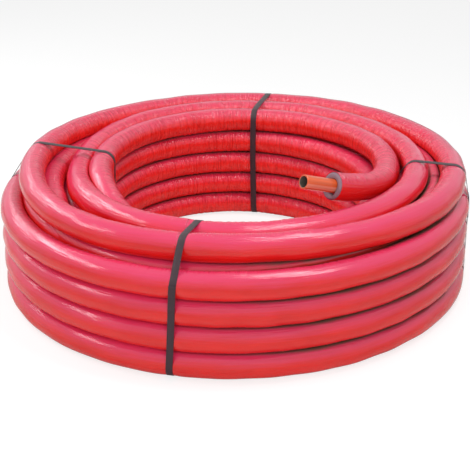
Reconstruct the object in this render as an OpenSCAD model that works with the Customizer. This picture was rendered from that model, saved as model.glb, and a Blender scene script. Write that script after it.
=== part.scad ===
// Insulated PEX pipe, wound in a strapped coil that lies flat.
// The coil's axis is Z and it stands on the undersides of its four straps at z = 0.

/* [Pipe] */
// Outer diameter of the PEX pipe
pipe_d = 26; // [16:1:30]
// Wall of the PEX pipe
pipe_wall = 3; // [1.8:0.1:4]

/* [Insulation] */
// Outer diameter over the foam and its film
jacket_d = 52; // [50:0.5:54]
// Thickness of the red film on the foam
film_t = 0.4; // [0.2:0.1:1]
// Clearance between the pipe and the foam that slides on it
foam_gap = 0.25; // [0.1:0.05:0.5]
// Clearance between the foam and its film
film_gap = 0.1; // [0.05:0.05:0.3]

/* [Winding] */
// Rows of turns in the inner and the outer layer, one on another
rows = 4; // [3:1:6]
// How much the foam gives between one row and the next
row_give = 1; // [0:0.1:2]
// Radius of the innermost layer, at the middle of its turns
inner_r = 304; // [240:1:400]
// Gap between the loose innermost turn and the second layer, which is a row higher
turn_gap = 3; // [1:0.5:6]
// Step out from the second layer to the third, which is nested half a row down
third_step = 37; // [32:1:42]
// How far the third layer has settled below half a row
third_sink = 6; // [3:0.5:9]
// Step out from the third layer to the outer one
outer_step = 57.5; // [52:0.5:62]
// How far the loose top turn lies in from the outer layer
top_in = 23.5; // [18:0.5:28]
// Gap between the loose top turn and the height of the outer layer's top
top_gap = 6; // [3:0.5:9]

/* [Free end] */
// Spare height of the gap under the loose innermost turn, past the strap in it
lift_spare = 0.2; // [0.1:0.1:1]
// Angle at which the loose innermost turn starts, counted from +X
loose_start = 210; // [180:1:220]
// Radius of the dive that ends the loose turn, down into the row below it
dive_r = 262; // [255:1:280]
// How far the dive is tilted down out of the level
dive_tilt = 38; // [36:0.5:44]
// Angle at which the free end leaves the coil, counted from +X
end_start = -4.5; // [-8:0.5:0]
// How much wider than the innermost layer the free end bends, having sprung open
bend_open = 3; // [0:0.5:6]
// Angle of the free end's bend, which goes as far as the insulation does
bend_angle = 53.5; // [45:0.5:60]
// How far the bend is tilted up out of the level
bend_tilt = 24; // [22:0.5:34]
// Length of straight bare pipe past the insulation
bare_len = 72; // [40:1:120]

/* [Straps] */
// Width of each strap
strap_w = 13; // [9:0.5:19]
// Thickness of each strap
strap_t = 0.8; // [0.5:0.1:1]
// Gap between the straps and the turns
strap_seat = 0.3; // [0.2:0.05:0.3]
// Length of the welded overlap of each strap
weld_len = 34; // [20:1:50]
// Angle of the front strap, counted from +X
front_angle = -104.5; // [-112:0.5:-96]
// Angle of the left strap
left_angle = 175; // [150:1:195]
// Angle of the back strap
back_angle = 80; // [60:1:120]
// Angle of the right strap
right_angle = -8; // [-10:1:-6]

/* [Hidden] */

$fn = 64;
coil_fn = 180;
jacket_r = jacket_d / 2;
pipe_r = pipe_d / 2;
foam_or = jacket_r - film_t - film_gap;
foam_ir = pipe_r + foam_gap;

// Radii of the layers, at the middles of their turns
second_r = inner_r + jacket_d + turn_gap;
third_r = second_r + third_step;
outer_r = third_r + outer_step;
top_r = outer_r - top_in;

// The lowest row stands on the straps that run under it
base_z = strap_t + strap_seat + jacket_r;
row_pitch = jacket_d - row_give;
function row_z(n) = base_z + (n - 1) * row_pitch;
nested_z = row_z(rows) + row_pitch / 2 - third_sink;
top_z = row_z(rows) + jacket_d + top_gap;

// One strap passes under the loose turn, with its seat above and below it
loose_z = row_z(rows) + jacket_d + strap_t + 2 * strap_seat + lift_spare;

bend_r = inner_r + bend_open;

// The dive goes on until it has come down by one row
dive_angle = acos(1 - (loose_z - row_z(rows)) / (dive_r * sin(dive_tilt)));

// Middles of the turns that make the outside of the coil's section, as radius and height
inner_foot = [inner_r, row_z(1)];
inner_head = [inner_r, row_z(rows)];
second_foot = [second_r, row_z(1)];
second_head = [second_r, row_z(rows + 1)];
third_foot = [third_r, row_z(1) + row_pitch / 2];
third_head = [third_r, nested_z];
top_turn = [top_r, top_z];
outer_head = [outer_r, row_z(rows)];
outer_foot = [outer_r, row_z(1)];
loose_turn = [inner_r, loose_z];

// Width of the flat where the loose turn presses on the row below it
seat_web = 8;
// Degrees between the right strap and the flat that starts beyond it
web_clear = 6;

// The flat starts beyond the right strap, and no sooner than the loose turn does
web_start = max(right_angle + web_clear, end_start);

// One turn's section
module turn(middle) {
    translate(middle) circle(r = jacket_r);
}

// Section of the strapped coil: the outer turns of the winding over a filled core
module coil_section() {
    polygon([inner_foot, second_foot, third_foot, outer_foot, outer_head,
             top_turn, third_head, second_head, inner_head]);
    for (n = [1 : rows]) {
        turn([inner_r, row_z(n)]);
        turn([outer_r, row_z(n)]);
    }
    turn(second_foot);
    turn(second_head);
    turn(third_foot);
    turn(third_head);
    turn(top_turn);
}

// Section of the flat under the loose innermost turn
module web_section() {
    translate([inner_r - seat_web / 2, row_z(rows)]) square([seat_web, loose_z - row_z(rows)]);
}

module insulation_coil() {
    color("#e23a4e") {
        rotate_extrude($fn = coil_fn) coil_section();
        rotate_extrude(angle = loose_start - end_start, start = end_start, $fn = coil_fn)
            turn(loose_turn);
        rotate_extrude(angle = loose_start - web_start, start = web_start, $fn = coil_fn)
            web_section();
        dive();
    }
}

// The loose turn's other end, which goes down among the turns below it. The turned
// section lines its seam up with the loose turn's.
module dive() {
    rotate([0, 0, loose_start]) translate([inner_r, 0, loose_z])
        rotate([0, 0, 90]) rotate([-dive_tilt, 0, 0]) translate([0, dive_r, 0])
            rotate_extrude(angle = dive_angle, start = -90, $fn = coil_fn)
                translate([dive_r, 0]) rotate(-dive_tilt) circle(r = jacket_r);
}

// Puts its children at the point where the free end leaves the coil, with +X along the pipe
module at_end_start() {
    rotate([0, 0, end_start]) translate([inner_r, 0, loose_z])
        rotate([0, 0, -90]) rotate([-bend_tilt, 0, 0]) children();
}

// Puts its children at the end of the bend, with +X along the pipe
module at_bend_end() {
    at_end_start() translate([0, -bend_r, 0]) rotate([0, 0, -bend_angle])
        translate([0, bend_r, 0]) children();
}

// A solid rod of radius r along the free end's bend
module bent_rod(r) {
    at_bend_end() translate([0, -bend_r, 0])
        rotate_extrude(angle = bend_angle, start = 90, $fn = coil_fn)
            translate([bend_r, 0]) circle(r = r);
}

// A solid rod of radius r along the bend and then the bare stretch. The quarter turn
// lines the straight's seam up with the bend's.
module whole_rod(r) {
    bent_rod(r);
    at_bend_end() rotate([0, 90, 0]) rotate([0, 0, 90]) cylinder(r = r, h = bare_len);
}

module film_end() {
    color("#e23a4e") difference() {
        bent_rod(jacket_r);
        bent_rod(jacket_r - film_t);
    }
}

module foam_end() {
    color("#9a929c") difference() {
        bent_rod(foam_or);
        bent_rod(foam_ir);
    }
}

module pex_pipe() {
    color("#e0642a") difference() {
        whole_rod(pipe_r);
        whole_rod(pipe_r - pipe_wall);
    }
}

// A strap's route round the section: each stop is a turn's middle, then 1 where the
// strap wraps the turn and -1 where it dips under the turn. It runs anticlockwise.
wrap_r = jacket_r + strap_seat + strap_t / 2;
function rise(a, b) = atan2(b[0][1] - a[0][1], b[0][0] - a[0][0]);
function normal_angle(a, b) =
    rise(a, b) + acos((b[1] - a[1]) * wrap_r / norm(b[0] - a[0]));
function full_turn(angle) = angle - 360 * floor(angle / 360);
function wrapped(v_in, v_out, side) = v_in + side * full_turn(side * (v_out - v_in));

// Points on one turn of the route, at the given distance outside the strap's middle
arc_steps = 12;
function stop_points(route, i, outside) =
    let (
        count = len(route),
        here = route[i],
        v_in = normal_angle(route[(i + count - 1) % count], here),
        v_out = wrapped(v_in, normal_angle(here, route[(i + 1) % count]), here[1])
    )
    [for (k = [0 : arc_steps])
        let (v = v_in + (v_out - v_in) * k / arc_steps)
        here[0] - (here[1] * wrap_r + outside) * [cos(v), sin(v)]];

function route_points(route, outside) =
    [for (i = [0 : len(route) - 1]) each stop_points(route, i, outside)];

// The strap's loop, as its section along the coil's radius, with its welded overlap
module strap_loop(route) {
    difference() {
        polygon(route_points(route, strap_t / 2));
        polygon(route_points(route, -strap_t / 2));
    }
}

weld_z = row_z(3) - weld_len / 2;
module strap(angle, route) {
    color("#2e2a2c") rotate([0, 0, angle]) translate([0, strap_w / 2, 0]) rotate([90, 0, 0]) {
        linear_extrude(strap_w) strap_loop(route);
        linear_extrude(strap_w)
            translate([outer_r + jacket_r + strap_seat + strap_t / 2, weld_z])
                square([strap_t * 1.5, weld_len]);
    }
}

// Routes past the loose turn, over it, and between it and the turns below and behind it
outside_route = [[outer_foot, 1], [outer_head, 1], [top_turn, 1]];
past_loose = concat(outside_route, [[second_head, 1], [inner_head, 1], [inner_foot, 1]]);
over_loose = concat(outside_route, [[loose_turn, 1], [inner_foot, 1]]);
under_loose = concat(outside_route, [[second_head, 1], [loose_turn, -1],
                                     [inner_head, 1], [inner_foot, 1]]);

module strap_front() {
    strap(front_angle, past_loose);
}

module strap_left() {
    strap(left_angle, over_loose);
}

module strap_back() {
    strap(back_angle, over_loose);
}

module strap_right() {
    strap(right_angle, under_loose);
}

insulation_coil();
film_end();
foam_end();
pex_pipe();
strap_front();
strap_left();
strap_back();
strap_right();
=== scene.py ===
"""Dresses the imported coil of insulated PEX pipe: wrapped turns, cut foam end, bare pipe, straps and stage."""

import math

import bpy
import numpy as np
from mathutils import Matrix, Vector


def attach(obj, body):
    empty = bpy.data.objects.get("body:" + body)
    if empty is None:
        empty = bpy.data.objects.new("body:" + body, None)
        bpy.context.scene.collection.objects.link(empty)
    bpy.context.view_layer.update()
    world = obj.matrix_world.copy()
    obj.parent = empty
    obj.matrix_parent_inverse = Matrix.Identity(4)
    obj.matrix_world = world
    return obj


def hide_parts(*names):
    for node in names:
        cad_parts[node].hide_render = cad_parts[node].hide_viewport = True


bl_info = {
    "name": "Insulated PEX pipe coil",
    "version": (1, 0, 0),
    "blender": (4, 5, 0),
    "location": "View3D > Sidebar > Pipe coil",
    "description": "Builds the film, foam, pipe, straps and stage round the packed coil",
    "category": "Object",
}

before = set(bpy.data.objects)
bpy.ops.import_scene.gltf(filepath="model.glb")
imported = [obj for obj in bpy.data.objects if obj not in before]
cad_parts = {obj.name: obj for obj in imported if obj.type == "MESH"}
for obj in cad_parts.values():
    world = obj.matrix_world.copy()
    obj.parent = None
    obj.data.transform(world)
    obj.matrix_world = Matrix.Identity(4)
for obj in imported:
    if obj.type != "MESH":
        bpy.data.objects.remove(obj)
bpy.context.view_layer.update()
MM = 0.001

# Compass angles run from the front (-Y) through +X, in degrees. Radii and heights are of the
# pipe's centre line, in millimetres. Eight values give them every 45 degrees from the front on.
OUTER_R = (461, 452, 444, 441, 446, 454, 463, 466)
INNER_R = (294, 293, 284, 287, 309, 310, 294, 293)
LOOSE_R = (294, 301, 308, 306, 309, 301, 285, 294)
RIDGE_R = (365, 363, 363, 365, 369, 354, 329, 346)
RIDGE_Z = (231, 231, 231, 232, 232, 231, 222, 229)
SUNK_R = (400, 400, 403, 399, 401, 389, 386, 393)
SUNK_Z = (190, 199, 204, 199, 194, 200, 213, 203)
RIM_R = (416, 431, 436, 433, 435, 413, 418, 428)
RIM_Z = (231, 231, 231, 231, 231, 240, 248, 235)
HIDDEN_R = (347, 404)

ROWS = 4
FIRST_ROW_Z = 27.1
ROW_PITCH = 51.0
LOOSE_Z = 231.0

# Stretches in which a strand changes its place, as (where it begins, how many degrees it takes)
OUTER_START = (180.0, 35.0)
OUTER_CLIMB = (142.0, 60.0)
OUTER_DIVE = (125.0, 35.0)
CROSSING = (288.0, 26.0)
CROSSED = (330.0, 60.0)
INNER_START = (335.0, 45.0)
# The inner layer's angle falls as it climbs, so this one is in the angle's negative
INNER_CLIMB = (28.0, 56.0)
UNDER_RIM_RISE = (245.0, 30.0)
UNDER_RIM_SINK = (296.0, 22.0)
# How far out and down the outer layer's last turn swings as it crosses, and in and down as it dives
CROSSING_OUT, CROSSING_DOWN = 24.0, 12.0
DIVE_IN, DIVE_DOWN = 15.0, 34.0
# Radius and height of the turn under the rim: as it begins, risen, and sunk again
UNDER_RIM = ((413.0, 176.0), (420.0, 192.0), (417.0, 184.0))
# The closed turns begin and end under the front strap
CLOSED_AT = 345.5

# The free end leaves the loose turn at LIFT_AT, and bends up and in over the bore
LIFT_FROM, LIFT_AT = 135.0, 85.5
LIFT_R, LIFT_Z = 304.0, 233.7
BEND_R, BEND_ANGLE, BEND_TILT = 307.0, 53.5, 24.0
BARE_LEN = 72.0

# The rest is in metres. Two turns may press on each other when their middles are this far apart
NEAREST, FARTHEST = 0.012, 0.075
# A limit that nothing reaches, and the least slope at which one still counts
BEYOND, GRAZING = 9.0, 0.05
# How far from the line between two turns its shade reaches
GROOVE_REACH = 0.003
# Film waves and pleats fade out over this length at the end of a strand
FADE = 0.04
# The cut film's lip, as (how far ahead of the cut, how far in from the film's outside)
FILM_LIP = ((0.0004, 0.00005), (0.0003, 0.0004), (-0.0030, 0.0008), (-0.0060, 0.0010))
# Where the cut foam is nicked, and how widely, in degrees round it
NICK_AT, NICK_WIDTH = 238, 26

# How far each strap drifts round the coil on its way in over the top, and its slant for each metre of height
STRAP_LEANS = {"front": (0.014, 0.07), "left": (0.0, 0.0), "back": (0.014, 0.0), "right": (0.021, 0.0)}
# The drift begins at this radius and takes this much of it. The slant turns about one height, up to another.
DRIFT_FROM, DRIFT_OVER = 0.465, 0.18
SLANT_ABOUT, SLANT_TO = 0.12, 0.20
# How far to each side of its middle line a strap presses the foam in
NIP_REACH = 0.012
# Where a strap's weld begins and ends along it, and how far a strap lies off the turns and the floor
WELD = (0.36, 0.41)
STRAP_SEAT, FLOOR_SEAT = 0.0002, 0.0001
# Steps along a strap and its weld, and round each pipe that it bends over
STRAP_STEP, WELD_STEP, BELT_STEP = 0.003, 0.002, 0.004

CAMERA_PLACE = (-0.0094, -2.1536, 1.0226)
CAMERA_DOWN, CAMERA_ROLL = math.radians(23.15), -0.012


def linear(hex_colour):
    """An sRGB hex value as linear RGBA."""
    parts = [int(hex_colour[i:i + 2], 16) / 255 for i in (1, 3, 5)]
    return tuple(c / 12.92 if c <= 0.04045 else ((c + 0.055) / 1.055) ** 2.4 for c in parts) + (1.0,)


def ease(x):
    """0 below 0, 1 above 1, and smooth between."""
    x = np.clip(x, 0.0, 1.0)
    return x * x * (3 - 2 * x)


def round_the_clock(values, angle):
    """A smooth closed curve through values that are evenly spaced from the front on."""
    v = np.array(values, float)
    n, h = len(v), 360.0 / len(v)
    left = np.zeros((n, n))
    for i in range(n):
        left[i, i - 1], left[i, i], left[i, (i + 1) % n] = h / 6, 2 * h / 3, h / 6
    bend = np.linalg.solve(left, (np.roll(v, -1) - 2 * v + np.roll(v, 1)) / h)
    at = (np.asarray(angle, float) % 360.0) / h
    i = np.floor(at).astype(int) % n
    j, t = (i + 1) % n, at - np.floor(at)
    return ((1 - t) * v[i] + t * v[j]
            + h * h / 6 * (((1 - t) ** 3 - (1 - t)) * bend[i] + (t ** 3 - t) * bend[j]))


# ---------------- The winding


class Strand:
    """One length of wrapped pipe, wound from the angle start to the angle end, which may be turns apart.
    place gives its radius and height at an angle, and a closed one meets itself."""

    def __init__(self, start, end, place, closed=False):
        self.start, self.end, self.place, self.closed = start, end, place, closed

    def passes(self, angle):
        """Each pass of this strand over these compass angles: radius, height, whether it is there, angle."""
        low, high = min(self.start, self.end), max(self.start, self.end)
        base = np.asarray(angle, float) % 360.0
        first = math.floor((low - 360) / 360)
        for turn in range(first, math.ceil(high / 360) + 1):
            at = base + 360.0 * turn
            there = (at >= low) & (at < high)
            if there.any():
                r, z = self.place(np.clip(at, low, high))
                yield r, z, there, at


def through(stretch, at, turns=0):
    """How far a strand is through a stretch, from 0 to 1. turns is the number of whole turns before it."""
    begin, length = stretch
    return ease((at - begin - 360.0 * turns) / length)


def outer_place(at):
    """The outer layer climbs at the back, and its last turn sinks inwards there to lie under the rim."""
    at = np.asarray(at, float)
    r = HIDDEN_R[-1] + (round_the_clock(OUTER_R, at) - HIDDEN_R[-1]) * through(OUTER_START, at)
    z = FIRST_ROW_Z + ROW_PITCH * sum(through(OUTER_CLIMB, at, turn) for turn in range(1, ROWS))
    sink = through(OUTER_CLIMB, at, ROWS)
    # On its way it crosses under the rim, from the inner side to the outer
    under = through(CROSSING, at, ROWS) * (1 - through(CROSSED, at, ROWS))
    r = r + sink * (round_the_clock(SUNK_R, at) + CROSSING_OUT * under - r)
    z = z + sink * (round_the_clock(SUNK_Z, at) - CROSSING_DOWN * under - z)
    dive = through(OUTER_DIVE, at, ROWS + 1)
    return r - DIVE_IN * dive, z - DIVE_DOWN * dive


def inner_place(at):
    """The inner layer climbs at the front left as its angle falls, where the loose turn rises too."""
    at = np.asarray(at, float)
    r = round_the_clock(INNER_R, at)
    z = FIRST_ROW_Z + ROW_PITCH * sum(through(INNER_CLIMB, -at, turn) for turn in range(ROWS - 1))
    return r + (HIDDEN_R[0] - r) * through(INNER_START, at), z


def loose_place(at):
    """The turn with the free end: up from the inner layer at the front left, then level to where it lifts."""
    at = np.asarray(at, float)
    rise = through(INNER_CLIMB, -at, -1)
    last_row = FIRST_ROW_Z + ROW_PITCH * (ROWS - 1)
    r = round_the_clock(INNER_R, at) * (1 - rise) + round_the_clock(LOOSE_R, at) * rise
    z = last_row + (LOOSE_Z - last_row) * rise
    lift = ease((LIFT_FROM - at) / (LIFT_FROM - LIFT_AT))
    return r + (LIFT_R - r) * lift, z + (LIFT_Z - z) * lift


def ring_place(radii, heights):
    """A closed turn through eight radii and heights."""
    return lambda at: (round_the_clock(radii, at), round_the_clock(heights, at))


def hidden_place(radius, row):
    """A plain round turn between the layers."""
    z = FIRST_ROW_Z + ROW_PITCH * row
    return lambda at: (np.full(np.shape(at), float(radius)), np.full(np.shape(at), z))


def under_rim_place(at):
    """The hidden turn that fills the space under the rim until the outer layer's last turn is there."""
    rise, sink = through(UNDER_RIM_RISE, at), through(UNDER_RIM_SINK, at)
    return tuple(low + (high - low) * rise + (last - high) * sink for low, high, last in zip(*UNDER_RIM))


OUTER = Strand(165.0, 360.0 * (ROWS + 1) + 160.0, outer_place)
INNER = Strand(395.0, -360.0 * (ROWS - 1) + 10.0, inner_place)
LOOSE = Strand(370.0, LIFT_AT, loose_place)
RIM = Strand(CLOSED_AT, CLOSED_AT + 360.0, ring_place(RIM_R, RIM_Z), closed=True)
RIDGE = Strand(CLOSED_AT, CLOSED_AT + 360.0, ring_place(RIDGE_R, RIDGE_Z), closed=True)
HIDDEN = [
    Strand(0.0, 360.0, hidden_place(radius, row), closed=True)
    for radius in HIDDEN_R
    for row in range(ROWS)
    if not (radius == HIDDEN_R[-1] and row == ROWS - 1)
]
# The top row of the hidden turns is there only where the outer layer's last turn lies farther in
HIDDEN.append(Strand(205.0, 318.0, under_rim_place))
WOUND = [OUTER, INNER, LOOSE, RIM, RIDGE] + HIDDEN

# ---------------- Properties


class FilmSizes(bpy.types.PropertyGroup):
    diameter: bpy.props.FloatProperty(
        name="Diameter over film", description="Wrapped pipe's outside diameter",
        default=0.052, unit="LENGTH")
    give: bpy.props.FloatProperty(
        name="Contact softness", description="How far a flat between two turns is rounded off",
        default=0.0016, unit="LENGTH")
    slack: bpy.props.FloatProperty(
        name="Film slack", description="Height of the slow waves in the film",
        default=0.0005, unit="LENGTH")
    pleat: bpy.props.FloatProperty(
        name="Pleat height", description="Height of the folds on the inside of each bend",
        default=0.0004, unit="LENGTH")
    parting: bpy.props.FloatProperty(
        name="Parting", description="Width of the dark line that is left between two turns",
        default=0.0012, unit="LENGTH")
    nip: bpy.props.FloatProperty(
        name="Strap nip", description="How far a strap presses into the foam",
        default=0.0012, unit="LENGTH")


class EndSizes(bpy.types.PropertyGroup):
    pipe_diameter: bpy.props.FloatProperty(
        name="Pipe diameter", description="Outside diameter of the pipe", default=0.026, unit="LENGTH")
    pipe_wall: bpy.props.FloatProperty(
        name="Pipe wall", description="Wall thickness of the pipe", default=0.003, unit="LENGTH")


class StrapSizes(bpy.types.PropertyGroup):
    width: bpy.props.FloatProperty(
        name="Width", description="Width of the strapping", default=0.013, unit="LENGTH")
    thickness: bpy.props.FloatProperty(
        name="Thickness", description="Thickness of the strapping", default=0.0008, unit="LENGTH")
    front: bpy.props.FloatProperty(
        name="Front", description="Compass angle of the front strap",
        default=math.radians(-14.5), subtype="ANGLE")
    left: bpy.props.FloatProperty(
        name="Left", description="Compass angle of the left strap",
        default=math.radians(265.0), subtype="ANGLE")
    back: bpy.props.FloatProperty(
        name="Back", description="Compass angle of the back strap",
        default=math.radians(170.0), subtype="ANGLE")
    right: bpy.props.FloatProperty(
        name="Right", description="Compass angle of the right strap",
        default=math.radians(79.0), subtype="ANGLE")


class Finishes(bpy.types.PropertyGroup):
    film: bpy.props.FloatVectorProperty(
        name="Film", description="Colour of the film", size=4, subtype="COLOR", default=linear("#e51b17"))
    # Painted sky reflection: the pinker colour painted on the film's faces that look up
    painted_sky_sheen: bpy.props.FloatVectorProperty(
        name="Painted_sheen", description="Colour of the film where it looks up", size=4, subtype="COLOR",
        default=linear("#e43d6e"))
    foam: bpy.props.FloatVectorProperty(
        name="Foam", description="Colour of the cut foam", size=4, subtype="COLOR", default=linear("#907884"))
    pipe: bpy.props.FloatVectorProperty(
        name="Pipe", description="Colour of the pipe", size=4, subtype="COLOR", default=linear("#e2602f"))
    strap: bpy.props.FloatVectorProperty(
        name="Strap", description="Colour of the straps", size=4, subtype="COLOR", default=linear("#352028"))


class StageSettings(bpy.types.PropertyGroup):
    sky: bpy.props.FloatProperty(
        name="Sky", description="Strength of the even light from all round", default=0.31, min=0.0)
    fill_power: bpy.props.FloatProperty(
        name="Fill lamp", description="Power of the large soft lamp in front", default=31.0, unit="POWER")
    top_power: bpy.props.FloatProperty(
        name="Top lamp", description="Power of the soft box overhead", default=19.0, unit="POWER")
    side_power: bpy.props.FloatProperty(
        name="Side lamp", description="Power of the soft boxes at the left", default=20.0, unit="POWER")
    floor: bpy.props.FloatVectorProperty(
        name="Floor", description="Colour of the floor", size=4, subtype="COLOR", default=linear("#eeeeed"))


# ---------------- Materials


def add(tree, kind, inputs=None, output=0, **settings):
    """Adds a node with its settings, and sets or links its inputs. It returns one output, or all for None.
    Inputs and outputs are given by name or number."""
    made = tree.nodes.new("ShaderNode" + kind)
    for key, value in settings.items():
        setattr(made, key, value)
    for key, value in (inputs or {}).items():
        socket = made.inputs[key]
        if isinstance(value, bpy.types.NodeSocket):
            tree.links.new(value, socket)
        else:
            socket.default_value = value
    return made.outputs if output is None else made.outputs[output]


def blank_material(name):
    made = bpy.data.materials.new(name)
    made.use_nodes = True
    made.node_tree.nodes.clear()
    return made, made.node_tree


def toned(colour, red, rest=None):
    """A colour with its red times one factor, and its green and blue times another, or the same one."""
    rest = red if rest is None else rest
    return min(colour[0] * red, 1.0), colour[1] * rest, colour[2] * rest, 1.0


def ldpe_film(finish):
    """Blown LDPE film, drawn over the foam and welded: a clear gloss over a full red. It has long quiet
    highlights where the bend stretches it, and packed cross folds where the bend shortens it."""
    made, tree = blank_material("red_ldpe_film")
    straight = add(tree, "Attribute", output="Vector", attribute_name="unrolled")
    # Y points away from the coil's middle, so the inside of the bend is where it is negative
    away = add(tree, "SeparateXYZ", {0: straight}, output="Y")
    inside = add(tree, "MapRange", {"Value": away, "From Min": 0.012, "From Max": -0.012},
                 interpolation_type="SMOOTHSTEP")
    outside = add(tree, "Math", {0: 1.0, 1: inside}, operation="SUBTRACT")

    # Packed folds stand 3 mm apart, creases 11 mm and drawn lines 4 mm. Each grain is given by its length
    # along the pipe and round it in millimetres, its detail, its roughness and its distortion.
    grains = []
    for along, round_, detail, roughness, distortion in (
        (2.6, 45.0, 1.0, 0.5, 0.3),
        (11.0, 70.0, 1.0, 0.5, 0.5),
        (5.0, 6.0, 2.0, 0.6, 0.0),
        (80.0, 4.0, 3.0, 0.6, 0.0),
        (90.0, 30.0, 3.0, 0.5, 0.0),
    ):
        scale = (1000 / along, 1000 / round_, 1000 / round_)
        stretched = add(tree, "VectorMath", {0: straight, 1: scale}, operation="MULTIPLY")
        grains.append(add(tree, "TexNoise", {
            "Vector": stretched, "Scale": 1.0, "Detail": detail, "Roughness": roughness,
            "Distortion": distortion}))
    folds, kinks, flats, drawn, slow = grains

    # Creases are narrow valleys where the noise passes its middle
    valley = add(tree, "Math", {0: kinks, 1: 0.5}, operation="SUBTRACT")
    valley = add(tree, "Math", {0: valley}, operation="ABSOLUTE")
    valley = add(tree, "MapRange", {"Value": valley, "From Max": 0.035})
    packed = add(tree, "Math", {0: flats, 1: 1.3}, operation="MULTIPLY")
    packed = add(tree, "Math", {0: folds, 1: 4.2, 2: packed}, operation="MULTIPLY_ADD")
    packed = add(tree, "Math", {0: valley, 1: 0.45, 2: packed}, operation="MULTIPLY_ADD")
    height = add(tree, "Math", {0: drawn, 1: outside}, operation="MULTIPLY")
    height = add(tree, "Math", {0: packed, 1: inside, 2: height}, operation="MULTIPLY_ADD")
    bump = add(tree, "Bump", {"Height": height, "Strength": 0.8, "Distance": 0.0011})

    patches = add(tree, "MapRange", {"Value": slow, "From Min": 0.3, "From Max": 0.7})
    # Packed folds lie double; painted sheen makes the inside of the bend lighter and pinker, for their glints
    painted_fold_sheen = add(tree, "Math", {0: inside, 1: 0.72}, operation="MULTIPLY")
    # Painted sky reflection: the faces that look up are painted a faint pink, in streaks, and less of it on the
    # folds
    normal = add(tree, "NewGeometry", output="Normal")
    upward = add(tree, "SeparateXYZ", {0: normal}, output="Z")
    streaked = add(tree, "Math", {0: drawn, 1: 0.5, 2: upward}, operation="MULTIPLY_ADD")
    painted_sky_sheen = add(tree, "MapRange", {"Value": streaked, "From Min": 0.3, "From Max": 1.2, "To Max": 0.85},
                interpolation_type="SMOOTHSTEP")
    weaker = add(tree, "MapRange", {"Value": inside, "To Min": 1.0, "To Max": 0.8})
    painted_sky_sheen = add(tree, "Math", {0: painted_sky_sheen, 1: weaker}, operation="MULTIPLY")
    # The feet of folds and creases lie in shade
    foot = add(tree, "MapRange", {
        "Value": folds, "From Min": 0.38, "From Max": 0.5, "To Min": 0.14, "To Max": 0.0})
    crease = add(tree, "MapRange", {"Value": valley, "From Max": 0.7, "To Min": 0.4, "To Max": 0.0})
    shade = add(tree, "Math", {0: foot, 1: crease}, operation="MAXIMUM")
    shade = add(tree, "Math", {0: shade, 1: inside}, operation="MULTIPLY")
    # Painted shade darkens the grooves between turns
    groove = add(tree, "Attribute", output="Fac", attribute_name="groove")
    colour = toned(finish.film, 0.90)
    for amount, layer in (
        (patches, toned(finish.film, 1.05, 1.4)),
        (painted_fold_sheen, toned(finish.film, 1.3, 2.6)),
        (painted_sky_sheen, tuple(finish.painted_sky_sheen)),
        (shade, toned(finish.film, 0.45)),
        (groove, linear("#6e5a4c")),
    ):
        colour = add(tree, "Mix", {"Factor": amount, 6: colour, 7: layer}, output=2, data_type="RGBA")

    gloss = add(tree, "MapRange", {
        "Value": slow, "From Min": 0.3, "From Max": 0.7, "To Min": 0.09, "To Max": 0.14})
    gloss = add(tree, "Math", {0: inside, 1: 0.05, 2: gloss}, operation="MULTIPLY_ADD")
    dull = add(tree, "MapRange", {"Value": drawn, "From Min": 0.5, "From Max": 0.75, "To Max": 0.12})
    gloss = add(tree, "Math", {0: gloss, 1: dull}, operation="ADD")
    shader = add(tree, "BsdfPrincipled", {
        "Base Color": colour, "Roughness": gloss, "IOR": 1.51, "Normal": bump, "Specular IOR Level": 0.52})
    add(tree, "OutputMaterial", {"Surface": shader}, output=None)
    return made


def pe_foam(finish):
    """Closed-cell polyethylene foam, extruded and knife-cut: fine pale cells, quite matt."""
    made, tree = blank_material("grey_pe_foam")
    place = add(tree, "TexCoord", output="Object")
    # Cells of 1 mm, drawn twice as coarse so that they show
    cells = add(tree, "TexVoronoi", {"Vector": place, "Scale": 1 / 0.002})
    cloud = add(tree, "TexNoise", {"Vector": place, "Scale": 1 / 0.012, "Detail": 3.0})
    tone = add(tree, "Math", {0: cloud, 1: 0.6}, operation="MULTIPLY")
    tone = add(tree, "Math", {0: cells, 1: 0.5, 2: tone}, operation="MULTIPLY_ADD")
    colour = add(tree, "Mix", {"Factor": tone, 6: toned(finish.foam, 0.78), 7: toned(finish.foam, 1.15)},
                 output=2, data_type="RGBA")
    bump = add(tree, "Bump", {"Height": cells, "Strength": 0.5, "Distance": 0.0006})
    shader = add(tree, "BsdfPrincipled", {
        "Base Color": colour, "Roughness": 0.8, "IOR": 1.5, "Normal": bump})
    add(tree, "OutputMaterial", {"Surface": shader}, output=None)
    return made


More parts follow.
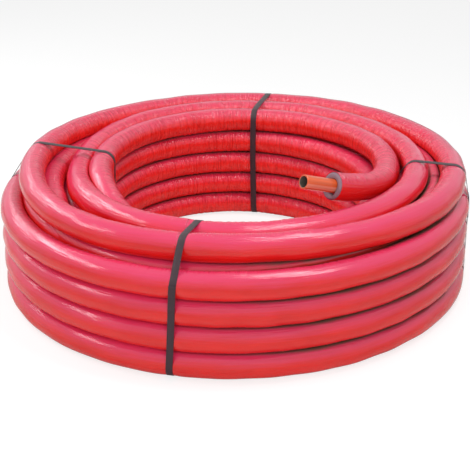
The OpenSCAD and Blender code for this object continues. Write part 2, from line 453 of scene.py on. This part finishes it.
def pex_plastic(finish):
    """Cross-linked polyethylene, extruded: waxy, faintly drawn along its length."""
    made, tree = blank_material("orange_pex")
    straight = add(tree, "Attribute", output="Vector", attribute_name="unrolled")
    # Extrusion lines, about 3 mm apart and 200 mm long
    scale = (1 / 0.2, 1 / 0.003, 1 / 0.003)
    stretched = add(tree, "VectorMath", {0: straight, 1: scale}, operation="MULTIPLY")
    lines = add(tree, "TexNoise", {"Vector": stretched, "Scale": 1.0, "Detail": 2.0})
    drawn = add(tree, "MapRange", {"Value": lines, "From Min": 0.3, "From Max": 0.7})
    # Painted reflection: one side of the pipe is painted with a paler streak
    side = add(tree, "VectorMath", {0: straight, 1: (0.0, -0.95, -0.31)}, output="Value",
               operation="DOT_PRODUCT")
    painted_reflection = add(tree, "MapRange", {"Value": side, "From Min": 0.0118, "From Max": 0.0128, "To Max": 0.5},
               interpolation_type="SMOOTHSTEP")
    # The bore is dull and dark beside the skin
    across = add(tree, "VectorMath", {0: straight, 1: (0.0, 1.0, 1.0)}, operation="MULTIPLY")
    off_axis = add(tree, "VectorMath", {0: across}, output="Value", operation="LENGTH")
    bore = add(tree, "MapRange", {"Value": off_axis, "From Min": 0.0112, "From Max": 0.0102})
    colour = toned(finish.pipe, 0.80)
    for amount, layer in (
        (drawn, toned(finish.pipe, 1.12)),
        (painted_reflection, linear("#f3b49c")),
        (bore, linear("#645e55")),
    ):
        colour = add(tree, "Mix", {"Factor": amount, 6: colour, 7: layer}, output=2, data_type="RGBA")
    bump = add(tree, "Bump", {"Height": lines, "Strength": 0.25, "Distance": 0.0004})
    shader = add(tree, "BsdfPrincipled", {
        "Base Color": colour, "Roughness": 0.22, "IOR": 1.54, "Normal": bump})
    add(tree, "OutputMaterial", {"Surface": shader}, output=None)
    return made


def pp_strapping(finish):
    """Embossed polypropylene strapping: a fine rolled diamond pattern, half matt."""
    made, tree = blank_material("black_pp_strap")
    straight = add(tree, "Attribute", output="Vector", attribute_name="unrolled")
    # Rolled diamonds, 2.4 mm apart
    diamonds = 1.0
    for slant in (1.0, -1.0):
        along = add(tree, "VectorMath", {0: straight, 1: (1.0, slant, 0.0)}, output="Value",
                    operation="DOT_PRODUCT")
        phase = add(tree, "Math", {0: along, 1: 2 * math.pi / 0.0024}, operation="MULTIPLY")
        wave = add(tree, "Math", {0: phase}, operation="SINE")
        diamonds = add(tree, "Math", {0: diamonds, 1: wave}, operation="MULTIPLY")
    cloud = add(tree, "TexNoise", {"Vector": straight, "Scale": 1 / 0.02, "Detail": 3.0})
    colour = add(tree, "Mix", {"Factor": cloud, 6: toned(finish.strap, 0.8), 7: toned(finish.strap, 1.2)},
                 output=2, data_type="RGBA")
    bump = add(tree, "Bump", {"Height": diamonds, "Strength": 0.4, "Distance": 0.0003})
    shader = add(tree, "BsdfPrincipled", {
        "Base Color": colour, "Roughness": 0.5, "IOR": 1.49, "Normal": bump})
    add(tree, "OutputMaterial", {"Surface": shader}, output=None)
    return made


MAKERS = {"red_film": ldpe_film, "grey_foam": pe_foam, "orange_pex": pex_plastic, "black_strap": pp_strapping}
# The materials made so far
finished = {}


def finish_for(slot):
    """The material for a slot, made once."""
    if slot not in finished:
        finished[slot] = MAKERS[slot](bpy.context.scene.coil_finishes)
    return finished[slot]


# ---------------- Meshes


def joined(grids):
    """One set of vertices, faces, unrolled places and groove shades from several grids."""
    points, faces, flat, groove, start = [], [], [], [], 0
    for grid in grids:
        p, u = grid["points"], grid["unrolled"]
        n, m = p.shape[:2]
        index = start + np.arange(n * m).reshape(n, m)
        rows = np.vstack([index, index[:1]]) if grid.get("closed") else index
        here, there = rows[:-1], rows[1:]
        quads = np.stack([here, np.roll(here, -1, 1), np.roll(there, -1, 1), there], -1).reshape(-1, 4)
        if grid.get("flip"):
            quads = quads[:, ::-1]
        faces.extend(quads.tolist())
        if not grid.get("closed"):
            first, last = index[0].tolist(), index[-1].tolist()
            if grid.get("flip"):
                first, last = first[::-1], last[::-1]
            faces.append(first[::-1])
            faces.append(last)
        points.append(p.reshape(-1, 3))
        flat.append(u.reshape(-1, 3))
        groove.append(grid.get("groove", np.zeros((n, m))).reshape(-1))
        start += n * m
    return np.vstack(points), faces, np.vstack(flat), np.concatenate(groove)


def add_piece(name, grids, slot, *nodes):
    """A mesh object from grids of points in metres, riding on the one body."""
    points, faces, flat, groove = joined(grids)
    mesh = bpy.data.meshes.new(name)
    mesh.from_pydata(points.tolist(), [], faces)
    mesh.update()
    place = mesh.attributes.new("unrolled", "FLOAT_VECTOR", "POINT")
    place.data.foreach_set("vector", flat.astype(np.float32).ravel())
    # The painted shade of the grooves, from 0 to 1
    if groove.any():
        shade = mesh.attributes.new("groove", "FLOAT", "POINT")
        shade.data.foreach_set("value", groove.astype(np.float32))
    mesh.shade_smooth()
    piece = bpy.data.objects.new(name, mesh)
    bpy.context.scene.collection.objects.link(piece)
    mesh.materials.append(finish_for(slot))
    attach(piece, "root")
    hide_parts(*nodes)


def strap_angle(name):
    return math.degrees(getattr(bpy.context.scene.coil_straps, name)) % 360


def strap_lean(name, r, z):
    """How far round a strap has drifted at a place on the section, in metres."""
    lean, slant = STRAP_LEANS[name]
    return lean * ease((DRIFT_FROM - r) / DRIFT_OVER) + slant * (np.minimum(z, SLANT_TO) - SLANT_ABOUT)


def nip_depth(at, r, z):
    """How deep the straps press into the foam along a strand."""
    depth = np.zeros(len(at))
    for name in STRAP_LEANS:
        past = np.radians((at - strap_angle(name) + 180) % 360 - 180)
        off = past * r * MM - strap_lean(name, r * MM, z * MM)
        depth = depth + bpy.context.scene.coil_film.nip * np.exp(-(off / NIP_REACH) ** 2)
    return depth


def waves(along, round_, length, seed, count, shortest, longest):
    """Slow waves over a wrapped pipe, of so many lengths along it and up to three lobes round it."""
    random = np.random.default_rng(seed)
    total = np.zeros((len(along), len(round_)))
    for _ in range(count):
        wave = math.exp(random.uniform(math.log(shortest), math.log(longest)))
        turns = max(1, round(length / wave))
        lobe = random.integers(0, 4)
        shift_a, shift_b = random.uniform(0, 2 * math.pi, 2)
        total += (np.cos(2 * math.pi * turns * along / length + shift_a)[:, None]
                  * np.cos(lobe * round_ + shift_b)[None, :])
    return total / math.sqrt(count / 2)


def loose_wound(at):
    """1 at the front and front right, where the turns lie a little apart, and 0 elsewhere."""
    compass = (at + 180.0) % 360.0 - 180.0
    return ease((compass + 25.0) / 45.0) * (1 - ease((compass - 70.0) / 40.0))


def section_limits(strand, at, r, z, section, radius):
    """How far out each wrapped pipe may reach, so that it lies flat against those that it presses on, and how
    dark the painted shade in its groove is there, from 0 to 1."""
    sizes = bpy.context.scene.coil_film
    slit = (sizes.parting * (1 + 1.5 * loose_wound(at)))[:, None]
    reach, clear = radius, np.full(radius.shape, BEYOND)
    for other in WOUND:
        if other is strand and strand.closed:
            continue
        for other_r, other_z, there, other_at in other.passes(at):
            if other is strand:
                there = there & (np.abs(other_at - at) > 90.0)
            dr, dz = (other_r - r) * MM, (other_z - z) * MM
            apart = np.hypot(dr, dz)
            near = there & (apart > NEAREST) & (apart < FARTHEST)
            if not near.any():
                continue
            facing = np.cos(section[None, :] - np.arctan2(dz, dr)[:, None])
            limit = np.where((facing > GRAZING) & near[:, None],
                             (apart[:, None] - slit) / 2 / np.maximum(facing, GRAZING), BEYOND)
            clear = np.minimum(clear, limit - reach)
            rounding = np.maximum(sizes.give - np.abs(reach - limit), 0.0) / sizes.give
            reach = np.minimum(reach, limit) - rounding * rounding * sizes.give / 4
    # Nothing reaches below the floor
    down = -np.sin(section)[None, :]
    floor = np.where(down > GRAZING, (z * MM)[:, None] / np.maximum(down, GRAZING), BEYOND)
    # Painted shade darkens the grooves where the turns lie apart, and those of the top turns only from below
    depth = np.full(len(at), 0.7) if strand in (INNER, LOOSE) else loose_wound(at)
    top_turn = strand in (RIM, RIDGE, LOOSE)
    lower = ease(0.6 - 2 * np.sin(section)) if top_turn else np.ones(len(section))
    groove = depth[:, None] * lower[None, :] * (1 - ease(clear / GROOVE_REACH))
    return np.minimum(reach, floor), groove


def film_radius():
    return bpy.context.scene.coil_film.diameter / 2


def run_of(points):
    """How far along a line each of its points lies."""
    return np.concatenate([[0], np.cumsum(np.linalg.norm(np.diff(points, axis=0), axis=1))])


def strand_run(strand):
    """Close angles along a strand, and how far along it each lies."""
    fine = np.linspace(strand.start, strand.end, 4000)
    r, z = strand.place(fine)
    return fine, run_of(np.stack([r * np.sin(np.radians(fine)), -r * np.cos(np.radians(fine)), z], -1) * MM)


def slack_film(along, section, length, inside, seed):
    """The film's distance from the pipe's middle, with slow waves all round, and pleats where inside is 1."""
    sizes = bpy.context.scene.coil_film
    radius = np.full((len(along), len(section)), film_radius())
    radius += sizes.slack * waves(along, section, length, seed, 14, 0.07, 0.4)
    radius += sizes.pleat * inside * waves(along, section, length, seed + 50, 50, 0.010, 0.022)
    return radius


def straightened(along, section, seed):
    """Where the film's points lie on the straight pipe. Each seed has its own stretch of the pattern."""
    half = film_radius()
    return np.stack(np.broadcast_arrays(
        along[:, None] + seed * 3.7, half * np.cos(section), half * np.sin(section)), -1)


def wound_grid(strand, step, sides, seed, plain=False):
    """The film along one strand, as a grid of points."""
    half = film_radius()
    fine, run = strand_run(strand)
    length = run[-1]
    along = np.linspace(0, length, max(int(length / step), 8) + 1)
    if strand.closed:
        along = along[:-1]
    at = np.interp(along, run, fine)
    r, z = strand.place(at)
    section = np.arange(sides) * 2 * math.pi / sides
    if plain:
        radius = np.full((len(at), sides), half)
    else:
        radius = slack_film(along, section, length, ease((-0.05 - np.cos(section)) / 0.6)[None, :], seed)
    radius -= nip_depth(at, r, z)[:, None]
    if not strand.closed:
        radius = half + (radius - half) * ease(np.minimum(along, length - along) / FADE)[:, None]
    radius, groove = section_limits(strand, at, r, z, section, radius)
    a = np.radians(at)[:, None]
    across = r[:, None] * MM + radius * np.cos(section)[None, :]
    points = np.stack([across * np.sin(a), -across * np.cos(a),
                       z[:, None] * MM + radius * np.sin(section)[None, :]], -1)
    return {"points": points, "unrolled": straightened(along, section, seed), "groove": groove,
            "closed": strand.closed, "flip": strand.end > strand.start}


def bend_frame():
    """Where the free end lifts off: the place, its direction there, and the way to the middle of its bend."""
    a, tilt = math.radians(LIFT_AT), math.radians(BEND_TILT)
    start = Vector((LIFT_R * math.sin(a), -LIFT_R * math.cos(a), LIFT_Z)) * MM
    ahead = Vector((-math.cos(a), -math.sin(a), 0.0))
    inward = Vector((-math.sin(a), math.cos(a), 0.0))
    return start, ahead, inward * math.cos(tilt) + Vector((0, 0, 1)) * math.sin(tilt)


def free_end():
    """The cut end of the film and foam, and the direction that the bare pipe leaves it in."""
    start, ahead, middle = bend_frame()
    turn, radius = math.radians(BEND_ANGLE), BEND_R * MM
    face = start + ahead * (radius * math.sin(turn)) + middle * (radius * (1 - math.cos(turn)))
    return face, (ahead * math.cos(turn) + middle * math.sin(turn)).normalized()


def loose_grid(step, sides, seed):
    """The film of the loose turn and the free end, as one grid from under the front turns to the cut."""
    half = film_radius()
    fine, run = strand_run(LOOSE)
    wound = run[-1]
    length = wound + BEND_R * MM * math.radians(BEND_ANGLE)
    along = np.linspace(0, length, int(length / step) + 1)
    on_coil = along <= wound
    section = np.arange(sides) * 2 * math.pi / sides
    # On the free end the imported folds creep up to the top, where its bend is tightest
    folded = section[None, :] + (math.radians(62) * ease((along - wound + 0.15) / 0.25))[:, None]
    radius = slack_film(along, section, length, ease((0.1 - np.cos(folded)) / 0.6), seed)
    radius = half + (radius - half) * ease(along / FADE)[:, None]

    at = np.interp(along[on_coil], run, fine)
    r, z = LOOSE.place(at)
    radius[on_coil] -= nip_depth(at, r, z)[:, None]
    groove = np.zeros(radius.shape)
    radius[on_coil], groove[on_coil] = section_limits(LOOSE, at, r, z, section, radius[on_coil])
    a = np.radians(at)
    centre, out, up = (np.zeros((len(along), 3)) for _ in range(3))
    centre[on_coil] = np.stack([r * np.sin(a), -r * np.cos(a), z], -1) * MM
    out[on_coil] = np.stack([np.sin(a), -np.cos(a), 0 * a], -1)
    up[on_coil] = (0, 0, 1)

    start, ahead, middle = (np.array(v) for v in bend_frame())
    turn, tilt = (along[~on_coil] - wound) / (BEND_R * MM), math.radians(BEND_TILT)
    centre[~on_coil] = (start + np.outer(np.sin(turn), ahead) * BEND_R * MM
                        + np.outer(1 - np.cos(turn), middle) * BEND_R * MM)
    away = np.outer(np.sin(turn), ahead) - np.outer(np.cos(turn), middle)
    side = -np.tile(np.cross(ahead, middle), (len(turn), 1))
    out[~on_coil] = away * math.cos(tilt) + side * math.sin(tilt)
    up[~on_coil] = side * math.cos(tilt) - away * math.sin(tilt)
    spokes = np.cos(section)[None, :, None] * out[:, None] + np.sin(section)[None, :, None] * up[:, None]
    points = centre[:, None] + radius[..., None] * spokes

    # The cut film ends in a thin lip, and is hollow behind it
    ahead = np.array(free_end()[1])
    lip = [centre[-1] + ahead * shift + (radius[-1] - inwards)[:, None] * spokes[-1]
           for shift, inwards in FILM_LIP]
    points = np.concatenate([points, np.stack(lip)])
    folded = np.concatenate([folded, np.repeat(folded[-1:], len(lip), 0)])
    groove = np.concatenate([groove, np.repeat(groove[-1:], len(lip), 0)])
    along = np.concatenate([along, along[-1] + np.array([shift for shift, _ in FILM_LIP])])
    return {"points": points, "unrolled": straightened(along, folded, seed), "groove": groove}


def lathe_grid(origin, axis, profile, sides, ragged=None, nick=None, seed=0):
    """A turned solid round an axis, as a closed grid. profile is (distance along, radius), from inside to
    inside. ragged and nick say how uneven each of its points is, and how far each steps back at the nick."""
    axis = np.array(axis)
    cross = np.cross(axis, (0, 0, 1))
    cross /= np.linalg.norm(cross)
    up = np.cross(cross, axis)
    angle = np.arange(sides) * 2 * math.pi / sides
    profile = np.array(profile, float)
    along = np.repeat(profile[:, :1], sides, 1)
    radius = np.repeat(profile[:, 1:2], sides, 1)
    if ragged is not None:
        random = np.random.default_rng(seed)
        edge = sum(random.normal() * np.cos(k * angle + random.uniform(0, 6.28)) / k for k in range(1, 9))
        along = along + np.outer(ragged, edge)
    if nick is not None:
        dip = np.exp(-((angle - math.radians(NICK_AT)) / math.radians(NICK_WIDTH)) ** 2)
        radius = radius + np.outer(nick, dip)
    c, s = np.cos(angle)[None, :, None], np.sin(angle)[None, :, None]
    points = np.array(origin) + along[..., None] * axis + radius[..., None] * (c * cross + s * up)
    flat = np.stack([along, radius * np.cos(angle)[None, :], radius * np.sin(angle)[None, :]], -1)
    return {"points": points, "unrolled": flat, "closed": True}


def belt(circles, radius):
    """A tight belt round circles, each (r, z, side), as points and outward normals in the r-z plane. It runs
    anticlockwise, with the circles of side +1 within it and those of side -1 outside."""
    ends = [[None, None] for _ in circles]
    for i, (r, z, side) in enumerate(circles):
        j = (i + 1) % len(circles)
        next_side = circles[j][2]
        here, there = np.array((r, z)), np.array(circles[j][:2])
        length = np.linalg.norm(there - here)
        ahead = (there - here) / length
        right = np.array([ahead[1], -ahead[0]])
        slope = max(-1.0, min(1.0, radius * (side - next_side) / length))
        normal = right * math.sqrt(1 - slope * slope) + ahead * slope
        ends[i][1] = (here + normal * radius * side, normal)
        ends[j][0] = (there + normal * radius * next_side, normal)
    points, normals = [], []
    for (r, z, side), ((_, first), (_, last)) in zip(circles, ends):
        begin, end = math.atan2(first[1], first[0]), math.atan2(last[1], last[0])
        sweep = (end - begin) % (2 * math.pi) if side > 0 else -((begin - end) % (2 * math.pi))
        # Nearly a whole turn is rounding, where the belt runs straight on
        if abs(sweep) > math.pi * 1.9:
            sweep = 0.0
        steps = max(int(abs(sweep) * radius / BELT_STEP), 1) + 1
        for t in np.linspace(begin, begin + sweep, steps):
            normal = np.array([math.cos(t), math.sin(t)])
            points.append(np.array((r, z)) + normal * radius * side)
            normals.append(normal)
    return np.array(points), np.array(normals)


def hull(points):
    """The lower side of some sorted points' hull, without its last point."""
    kept = []
    for p in points:
        while len(kept) > 1 and ((kept[-1][0] - kept[-2][0]) * (p[1] - kept[-2][1])
                                 - (kept[-1][1] - kept[-2][1]) * (p[0] - kept[-2][0])) <= 1e-9:
            kept.pop()
        kept.append(p)
    return kept[:-1]


def belt_circles(angle, under_loose):
    """The wrapped pipes that a strap at this angle goes round, anticlockwise from the lowest row's inside."""
    centres = set()
    for strand in WOUND:
        if strand is LOOSE and under_loose:
            continue
        for r, z, there, _ in strand.passes(np.array([angle])):
            if there[0]:
                centres.add((round(float(r[0]), 3) * MM, round(float(z[0]), 3) * MM))
    centres = sorted(centres)
    circles = [(r, z, 1.0) for r, z in hull(centres) + hull(centres[::-1])]
    if under_loose:
        r, z = (float(v[0]) * MM for v in LOOSE.place(np.array([angle])))
        ridge_r = float(RIDGE.place(np.array([angle]))[0][0]) * MM
        spot = next(i for i, c in enumerate(circles) if abs(c[0] - ridge_r) < 0.03 and c[1] > 0.2)
        circles.insert(spot + 1, (r, z, -1.0))
    return circles


def strap_grid(name, seed, span=None, lift=0.0):
    """A strap round the section. span keeps only that part of its length, and lift holds it off."""
    sizes = bpy.context.scene.coil_straps
    radius = film_radius() - bpy.context.scene.coil_film.nip + sizes.thickness / 2 + STRAP_SEAT
    points, normals = belt(belt_circles(strap_angle(name), name == "right"), radius)
    loop = np.vstack([points, points[:1]])
    turned = np.vstack([normals, normals[:1]])
    run = run_of(loop)
    keep = np.concatenate([[True], np.diff(run) > 1e-6])
    loop, turned, run = loop[keep], turned[keep], run[keep]
    length = run[-1]
    if span is None:
        at = np.linspace(0, length, int(length / STRAP_STEP))[:-1]
    else:
        at = np.linspace(span[0], span[1], int((span[1] - span[0]) / WELD_STEP))
    middle = np.stack([np.interp(at, run, loop[:, k]) for k in (0, 1)], -1)
    normal = np.stack([np.interp(at, run, turned[:, k]) for k in (0, 1)], -1)
    normal /= np.linalg.norm(normal, axis=1)[:, None]
    middle[:, 1] = np.maximum(middle[:, 1], sizes.thickness / 2 + FLOOR_SEAT)
    w, t = sizes.width / 2, sizes.thickness / 2
    bevel = t * 0.6
    outline = np.array([(-w, -t + bevel), (-w + bevel, -t), (0, -t), (w - bevel, -t), (w, -t + bevel),
                        (w, t - bevel), (w - bevel, t), (0, t), (-w + bevel, t), (-w, t - bevel)])
    random = np.random.default_rng(seed)
    drift = sum(random.normal() * np.cos(2 * math.pi * k * at / length + random.uniform(0, 6.28))
                for k in (1, 2, 3))
    drift = drift * 0.0005 + strap_lean(name, middle[:, 0], middle[:, 1])
    a = math.radians(strap_angle(name))
    out = np.array([math.sin(a), -math.cos(a), 0.0])
    across = np.array([math.cos(a), math.sin(a), 0.0])
    up = np.array([0, 0, 1.0])
    centre = middle[:, :1] * out + middle[:, 1:] * up + drift[:, None] * across
    face = normal[:, :1] * out + normal[:, 1:] * up
    points = centre[:, None] + (outline[None, :, 1:] + lift) * face[:, None] + outline[None, :, :1] * across
    flat = np.stack(np.broadcast_arrays(at[:, None], outline[None, :, 0], outline[None, :, 1]), -1)
    return {"points": points, "unrolled": flat, "closed": span is None}


# ---------------- Operators


class COIL_OT_outer_layer(bpy.types.Operator):
    """Winds the outer layer: four rows and the turn that sinks under the rim"""
    bl_idname = "coil.outer_layer"
    bl_label = "Outer layer"

    def execute(self, context):
        grid = wound_grid(OUTER, step=0.0054, sides=36, seed=3)
        add_piece("film_outer_layer", [grid], "red_film", "insulation_coil")
        return {"FINISHED"}


class COIL_OT_top_turns(bpy.types.Operator):
    """Lays the rim and ridge turns on top"""
    bl_idname = "coil.top_turns"
    bl_label = "Top turns"

    def execute(self, context):
        grids = [wound_grid(strand, step=0.0028, sides=48, seed=seed)
                 for strand, seed in ((RIM, 11), (RIDGE, 12))]
        add_piece("film_top_turns", grids, "red_film", "insulation_coil")
        return {"FINISHED"}


class COIL_OT_inner_layer(bpy.types.Operator):
    """Winds the inner layer, which lines the bore"""
    bl_idname = "coil.inner_layer"
    bl_label = "Inner layer"

    def execute(self, context):
        grid = wound_grid(INNER, step=0.0038, sides=42, seed=21)
        add_piece("film_inner_layer", [grid], "red_film", "insulation_coil")
        return {"FINISHED"}


class COIL_OT_loose_turn(bpy.types.Operator):
    """Lays the loose turn, which ends in the free end"""
    bl_idname = "coil.loose_turn"
    bl_label = "Loose turn"

    def execute(self, context):
        grid = loose_grid(step=0.0024, sides=56, seed=31)
        add_piece("film_loose_turn", [grid], "red_film", "insulation_coil", "film_end")
        return {"FINISHED"}


class COIL_OT_hidden_turns(bpy.types.Operator):
    """Fills in the turns between the layers"""
    bl_idname = "coil.hidden_turns"
    bl_label = "Hidden turns"

    def execute(self, context):
        grids = [wound_grid(strand, step=0.012, sides=20, seed=40 + i, plain=True)
                 for i, strand in enumerate(HIDDEN)]
        add_piece("film_hidden_turns", grids, "red_film", "insulation_coil")
        return {"FINISHED"}


class COIL_OT_cut_end(bpy.types.Operator):
    """Makes the cut foam and the bare pipe at the free end"""
    bl_idname = "coil.cut_end"
    bl_label = "Cut end"

    def execute(self, context):
        sizes = context.scene.coil_end
        face, ahead = free_end()
        # The foam ends just inside the film, and lies round the pipe with a little room
        outer, inner = film_radius() - 0.0008, sizes.pipe_diameter / 2 + 0.0004
        profile = [(-0.030, inner), (-0.030, outer - 0.001), (-0.004, outer), (-0.001, outer),
                   (0.0012, outer - 0.0008), (0.0022, outer - 0.003), (0.0024, (outer + inner) / 2),
                   (0.0018, inner + 0.002), (0.0006, inner + 0.0004), (-0.002, inner)]
        ragged = np.array([0, 0, 0, .4, 1, 1, 1, 1, 1, .5]) * 0.0009
        # The knife caught the foam under the pipe and left a gap there
        nick = np.array([0, 0, 0, 0, 0, 0, 0.3, 1, 1, 1]) * 0.0042
        grid = lathe_grid(face, ahead, profile, 96, ragged, nick, seed=5)
        add_piece("foam_end_cut", [grid], "grey_foam", "foam_end")

        wide, bore = sizes.pipe_diameter / 2, sizes.pipe_diameter / 2 - sizes.pipe_wall
        tip = BARE_LEN * MM
        profile = ([(-0.028, bore), (-0.028, wide)] + [(x * tip, wide) for x in (0, .2, .4, .6, .8)]
                   + [(tip - 0.0009, wide), (tip - 0.0003, wide - 0.0003), (tip, wide - 0.0009),
                      (tip, bore + 0.0008), (tip - 0.0004, bore + 0.0002), (tip - 0.0012, bore)]
                   + [(x * tip, bore) for x in (.8, .5, .2)])
        add_piece("pex_pipe_end", [lathe_grid(face, ahead, profile, 64)], "orange_pex", "pex_pipe")
        return {"FINISHED"}


class COIL_OT_straps(bpy.types.Operator):
    """Ties the coil with its four straps"""
    bl_idname = "coil.straps"
    bl_label = "Straps"

    def execute(self, context):
        weld_lift = context.scene.coil_straps.thickness
        for seed, name in enumerate(STRAP_LEANS, 60):
            grids = [strap_grid(name, seed), strap_grid(name, seed, WELD, weld_lift)]
            add_piece("strap_" + name + "_band", grids, "black_strap", "strap_" + name)
        return {"FINISHED"}


class COIL_OT_stage(bpy.types.Operator):
    """Sets the floor, the lamps and the camera"""
    bl_idname = "coil.stage"
    bl_label = "Stage"

    def execute(self, context):
        settings, scene = context.scene.coil_stage, context.scene
        far = 30.0
        mesh = bpy.data.meshes.new("floor")
        mesh.from_pydata([(-far, -far, 0), (far, -far, 0), (far, far, 0), (-far, far, 0)], [], [(0, 1, 2, 3)])
        floor = bpy.data.objects.new("floor", mesh)
        scene.collection.objects.link(floor)
        # A studio floor. Seen directly it glows up to white, and a third of its paint keeps the shadow.
        made, tree = blank_material("studio_floor")
        paint = add(tree, "BsdfDiffuse", {"Color": tuple(settings.floor)})
        part = add(tree, "BsdfDiffuse", {"Color": (0.32, 0.32, 0.32, 1.0)})
        glow = add(tree, "Emission", {"Color": (1, 1, 1, 1), "Strength": 0.76})
        seen = add(tree, "AddShader", {0: part, 1: glow})
        direct = add(tree, "LightPath", output="Is Camera Ray")
        both = add(tree, "MixShader", {0: direct, 1: paint, 2: seen})
        add(tree, "OutputMaterial", {"Surface": both}, output=None)
        mesh.materials.append(made)

        world = bpy.data.worlds.new("studio")
        world.use_nodes = True
        tree = world.node_tree
        tree.nodes.clear()
        # What is seen or mirrored is white, and what only lights is dimmer
        ray = add(tree, "LightPath", output=None)
        passed = add(tree, "Math", {0: ray["Is Glossy Ray"], 1: ray["Is Transmission Ray"]},
                     operation="MAXIMUM")
        shown = add(tree, "Math", {0: ray["Is Camera Ray"], 1: passed}, operation="MAXIMUM")
        even = add(tree, "Background", {"Color": (1, 1, 1, 1), "Strength": settings.sky})
        white = add(tree, "Background", {"Color": (1, 1, 1, 1), "Strength": 1.0})
        both = add(tree, "MixShader", {0: shown, 1: even, 2: white})
        add(tree, "OutputWorld", {"Surface": both}, output=None)
        scene.world = world

        # The two narrow boxes at the left make the long highlights. The low one has a fifth of the power.
        for name, place, size, power in (
            ("fill_lamp", (0.0, -2.6, 1.6), (2.5, 1.6), settings.fill_power),
            ("top_lamp", (0.55, -0.3, 2.15), (0.5, 1.0), settings.top_power),
            ("side_lamp", (-1.75, 0.35, 1.7), (2.4, 0.28), settings.side_power),
            ("low_side_lamp", (-1.7, 1.2, 1.2), (1.5, 0.14), settings.side_power * 0.2),
        ):
            lamp = bpy.data.lights.new(name, "AREA")
            lamp.shape, lamp.size, lamp.size_y, lamp.energy = "RECTANGLE", size[0], size[1], power
            holder = bpy.data.objects.new(name, lamp)
            holder.location = place
            holder.rotation_euler = (Vector((0, 0, 0.15)) - Vector(place)).to_track_quat("-Z", "Y").to_euler()
            holder.visible_camera = False
            holder.visible_glossy = name != "fill_lamp"
            scene.collection.objects.link(holder)

        camera = bpy.data.cameras.new("camera")
        camera.lens, camera.sensor_width = 84.64, 36.0
        camera.shift_y = -0.0266
        camera.clip_end = 100.0
        holder = bpy.data.objects.new("camera", camera)
        holder.location = CAMERA_PLACE
        aim = Matrix.Rotation(math.pi / 2 - CAMERA_DOWN, 3, "X") @ Matrix.Rotation(CAMERA_ROLL, 3, "Z")
        holder.rotation_euler = aim.to_euler()
        scene.collection.objects.link(holder)
        scene.camera = holder
        scene.view_settings.view_transform = "Standard"
        return {"FINISHED"}


class COIL_PT_panel(bpy.types.Panel):
    """Lists the coil's pieces in the 3D view's sidebar"""
    bl_idname = "COIL_PT_panel"
    bl_label = "Insulated pipe coil"
    bl_space_type = "VIEW_3D"
    bl_region_type = "UI"
    bl_category = "Pipe coil"

    def draw(self, context):
        for group in SETTINGS:
            settings = getattr(context.scene, group)
            box = self.layout.box()
            for name in settings.__annotations__:
                box.prop(settings, name)
        for operator in OPERATORS:
            self.layout.operator(operator.bl_idname)


SETTINGS = {
    "coil_film": FilmSizes,
    "coil_end": EndSizes,
    "coil_straps": StrapSizes,
    "coil_finishes": Finishes,
    "coil_stage": StageSettings,
}
OPERATORS = (
    COIL_OT_outer_layer,
    COIL_OT_top_turns,
    COIL_OT_inner_layer,
    COIL_OT_loose_turn,
    COIL_OT_hidden_turns,
    COIL_OT_cut_end,
    COIL_OT_straps,
    COIL_OT_stage,
)


def register():
    for name, group in SETTINGS.items():
        bpy.utils.register_class(group)
        setattr(bpy.types.Scene, name, bpy.props.PointerProperty(type=group))
    for made in OPERATORS + (COIL_PT_panel,):
        bpy.utils.register_class(made)


def unregister():
    for made in (COIL_PT_panel,) + OPERATORS[::-1]:
        bpy.utils.unregister_class(made)
    for name, group in reversed(list(SETTINGS.items())):
        delattr(bpy.types.Scene, name)
        bpy.utils.unregister_class(group)


def main():
    register()
    for operator in OPERATORS:
        area, call = operator.bl_idname.split(".")
        getattr(getattr(bpy.ops, area), call)()


if __name__ == "__main__":
    main()
